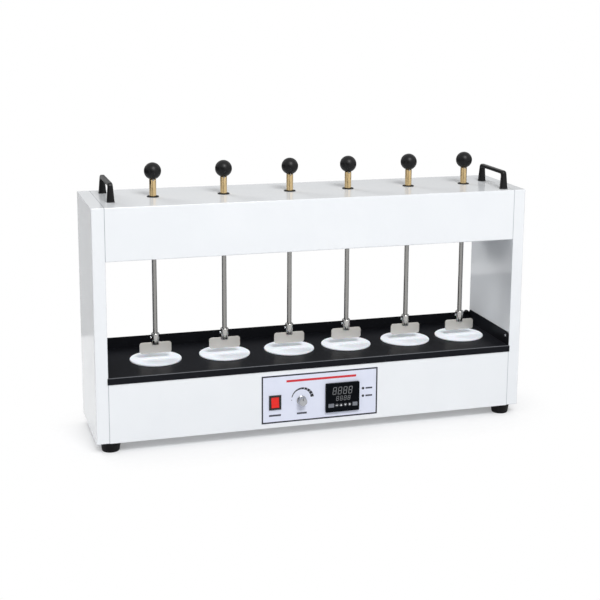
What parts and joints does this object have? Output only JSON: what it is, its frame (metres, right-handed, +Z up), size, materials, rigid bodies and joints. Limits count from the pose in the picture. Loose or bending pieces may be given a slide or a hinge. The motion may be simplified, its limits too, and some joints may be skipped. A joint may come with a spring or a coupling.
{
  "type": "laboratory jar tester",
  "caption": "Bench-top flocculation stirrer: a white steel case with a row of lift-out belt-driven paddle stirrers over a black jar shelf, with switch, speed knob and digital meter.",
  "frame": {"origin": "on the bench under the middle of the case, at the height of the feet's undersides", "axes": "+X along the row of stirrers, to the right seen from the control panel; +Y from the control panel to the back; +Z up"},
  "size_m": [0.9, 0.236, 0.5575],
  "materials": {
    "case_paint": "gloss powder coat, near white",
    "shelf_paint": "satin black powder coat",
    "zinc_steel": "zinc-plated sheet",
    "disc_plastic": "moulded white plastic",
    "foot_rubber": "moulded black rubber",
    "handle_plastic": "moulded black nylon",
    "grommet_rubber": "black rubber",
    "bearing_bronze": "sintered bronze",
    "screw_steel": "plated steel",
    "label_film": "printed film on aluminium",
    "switch_black": "moulded black nylon",
    "rocker_red": "translucent red plastic",
    "knob_aluminium": "turned and anodised",
    "pot_plastic": "moulded control body",
    "meter_plastic": "moulded black ABS",
    "meter_window": "smoked acrylic",
    "key_rubber": "silicone rubber",
    "motor_metal": "die-cast and painted",
    "pulley_metal": "turned aluminium",
    "belt_rubber": "flat rubber belt",
    "sensor_plastic": "moulded plastic",
    "supply_steel": "folded zinc-plated cover",
    "board_laminate": "glass-fibre board",
    "gland_plastic": "moulded nylon",
    "drive_brass": "turned brass",
    "rod_steel": "ground stainless steel",
    "ball_plastic": "polished black phenolic"
  },
  "bodies": {
    "root": {"left_pillar": "case_paint", "right_pillar": "case_paint", "left_liner": "case_paint", "right_liner": "case_paint", "head_cover": "case_paint", "base_front_panel": "case_paint", "base_rear_panel": "case_paint", "base_floor": "case_paint", "drive_deck": "zinc_steel", "bearing_rail": "zinc_steel", "tray": "shelf_paint", "jar_discs": "disc_plastic", "feet": "foot_rubber", "left_handle": "handle_plastic", "right_handle": "handle_plastic", "shaft_grommets": "grommet_rubber", "bearings": "bearing_bronze", "screws": "screw_steel", "control_label": "label_film", "switch_frame": "switch_black", "speed_pot": "pot_plastic", "meter_case": "meter_plastic", "meter_window": "meter_window", "gear_motor": "motor_metal", "drive_belts": "belt_rubber", "speed_sensor": "sensor_plastic", "power_supply": "supply_steel", "driver_board": "board_laminate", "cable_gland": "gland_plastic"},
    "motor_pulley": {"motor_pulley": "pulley_metal"},
    "speed_knob": {"speed_knob": "knob_aluminium"},
    "switch_rocker": {"switch_rocker": "rocker_red"},
    "meter_key_1": {"meter_key_1": "key_rubber"},
    "meter_key_2": {"meter_key_2": "key_rubber"},
    "meter_key_3": {"meter_key_3": "key_rubber"},
    "meter_key_4": {"meter_key_4": "key_rubber"},
    "spindle_1": {"spindle_1": "drive_brass", "pulley_1": "pulley_metal"},
    "stirrer_1": {"stirrer_1": "rod_steel", "knob_1": "ball_plastic"},
    "spindle_2": {"spindle_2": "drive_brass", "pulley_2": "pulley_metal"},
    "stirrer_2": {"stirrer_2": "rod_steel", "knob_2": "ball_plastic"},
    "spindle_3": {"spindle_3": "drive_brass", "pulley_3": "pulley_metal"},
    "stirrer_3": {"stirrer_3": "rod_steel", "knob_3": "ball_plastic"},
    "spindle_4": {"spindle_4": "drive_brass", "pulley_4": "pulley_metal"},
    "stirrer_4": {"stirrer_4": "rod_steel", "knob_4": "ball_plastic"},
    "spindle_5": {"spindle_5": "drive_brass", "pulley_5": "pulley_metal"},
    "stirrer_5": {"stirrer_5": "rod_steel", "knob_5": "ball_plastic"},
    "spindle_6": {"spindle_6": "drive_brass", "pulley_6": "pulley_metal"},
    "stirrer_6": {"stirrer_6": "rod_steel", "knob_6": "ball_plastic"}
  },
  "joints": [
    {"name": "spindle_1_spin", "type": "hinge", "parent": "root", "child": "spindle_1", "pos_m": [-0.3135, 0, 0.455], "axis": [0, 0, 1], "continuous": true},
    {"name": "spindle_2_spin", "type": "hinge", "parent": "root", "child": "spindle_2", "pos_m": [-0.17, 0, 0.455], "axis": [0, 0, 1], "continuous": true},
    {"name": "spindle_3_spin", "type": "hinge", "parent": "root", "child": "spindle_3", "pos_m": [-0.0315, 0, 0.455], "axis": [0, 0, 1], "continuous": true},
    {"name": "spindle_4_spin", "type": "hinge", "parent": "root", "child": "spindle_4", "pos_m": [0.094, 0, 0.455], "axis": [0, 0, 1], "continuous": true},
    {"name": "spindle_5_spin", "type": "hinge", "parent": "root", "child": "spindle_5", "pos_m": [0.228, 0, 0.455], "axis": [0, 0, 1], "continuous": true},
    {"name": "spindle_6_spin", "type": "hinge", "parent": "root", "child": "spindle_6", "pos_m": [0.354, 0, 0.455], "axis": [0, 0, 1], "continuous": true},
    {"name": "motor_spin", "type": "hinge", "parent": "root", "child": "motor_pulley", "pos_m": [-0.375, 0, 0.455], "axis": [0, 0, 1], "continuous": true},
    {"name": "stirrer_1_lift", "type": "slide", "parent": "spindle_1", "child": "stirrer_1", "axis": [0, 0, 1], "range_m": [0, 0.16]},
    {"name": "stirrer_2_lift", "type": "slide", "parent": "spindle_2", "child": "stirrer_2", "axis": [0, 0, 1], "range_m": [0, 0.16]},
    {"name": "stirrer_3_lift", "type": "slide", "parent": "spindle_3", "child": "stirrer_3", "axis": [0, 0, 1], "range_m": [0, 0.16]},
    {"name": "stirrer_4_lift", "type": "slide", "parent": "spindle_4", "child": "stirrer_4", "axis": [0, 0, 1], "range_m": [0, 0.16]},
    {"name": "stirrer_5_lift", "type": "slide", "parent": "spindle_5", "child": "stirrer_5", "axis": [0, 0, 1], "range_m": [0, 0.16]},
    {"name": "stirrer_6_lift", "type": "slide", "parent": "spindle_6", "child": "stirrer_6", "axis": [0, 0, 1], "range_m": [0, 0.16]},
    {"name": "speed_knob_turn", "type": "hinge", "parent": "root", "child": "speed_knob", "pos_m": [-0.035, -0.11, 0.0746], "axis": [0, 1, 0], "range_deg": [-135, 135]},
    {"name": "switch_rock", "type": "hinge", "parent": "root", "child": "switch_rocker", "pos_m": [-0.0907, -0.1035, 0.0746], "axis": [1, 0, 0], "range_deg": [0, 16]},
    {"name": "meter_key_1_press", "type": "slide", "parent": "root", "child": "meter_key_1", "axis": [0, 1, 0], "range_m": [0, 0.0008], "stiffness_N_per_m": 600, "springref_m": -0.0005},
    {"name": "meter_key_2_press", "type": "slide", "parent": "root", "child": "meter_key_2", "axis": [0, 1, 0], "range_m": [0, 0.0008], "stiffness_N_per_m": 600, "springref_m": -0.0005},
    {"name": "meter_key_3_press", "type": "slide", "parent": "root", "child": "meter_key_3", "axis": [0, 1, 0], "range_m": [0, 0.0008], "stiffness_N_per_m": 600, "springref_m": -0.0005},
    {"name": "meter_key_4_press", "type": "slide", "parent": "root", "child": "meter_key_4", "axis": [0, 1, 0], "range_m": [0, 0.0008], "stiffness_N_per_m": 600, "springref_m": -0.0005}
  ],
  "couplings": [
    {"joint": "spindle_2_spin", "follows": "spindle_1_spin", "ratio": 1},
    {"joint": "spindle_3_spin", "follows": "spindle_1_spin", "ratio": 1},
    {"joint": "spindle_4_spin", "follows": "spindle_1_spin", "ratio": 1},
    {"joint": "spindle_5_spin", "follows": "spindle_1_spin", "ratio": 1},
    {"joint": "spindle_6_spin", "follows": "spindle_1_spin", "ratio": 1},
    {"joint": "motor_spin", "follows": "spindle_1_spin", "ratio": 1.5405}
  ]
}
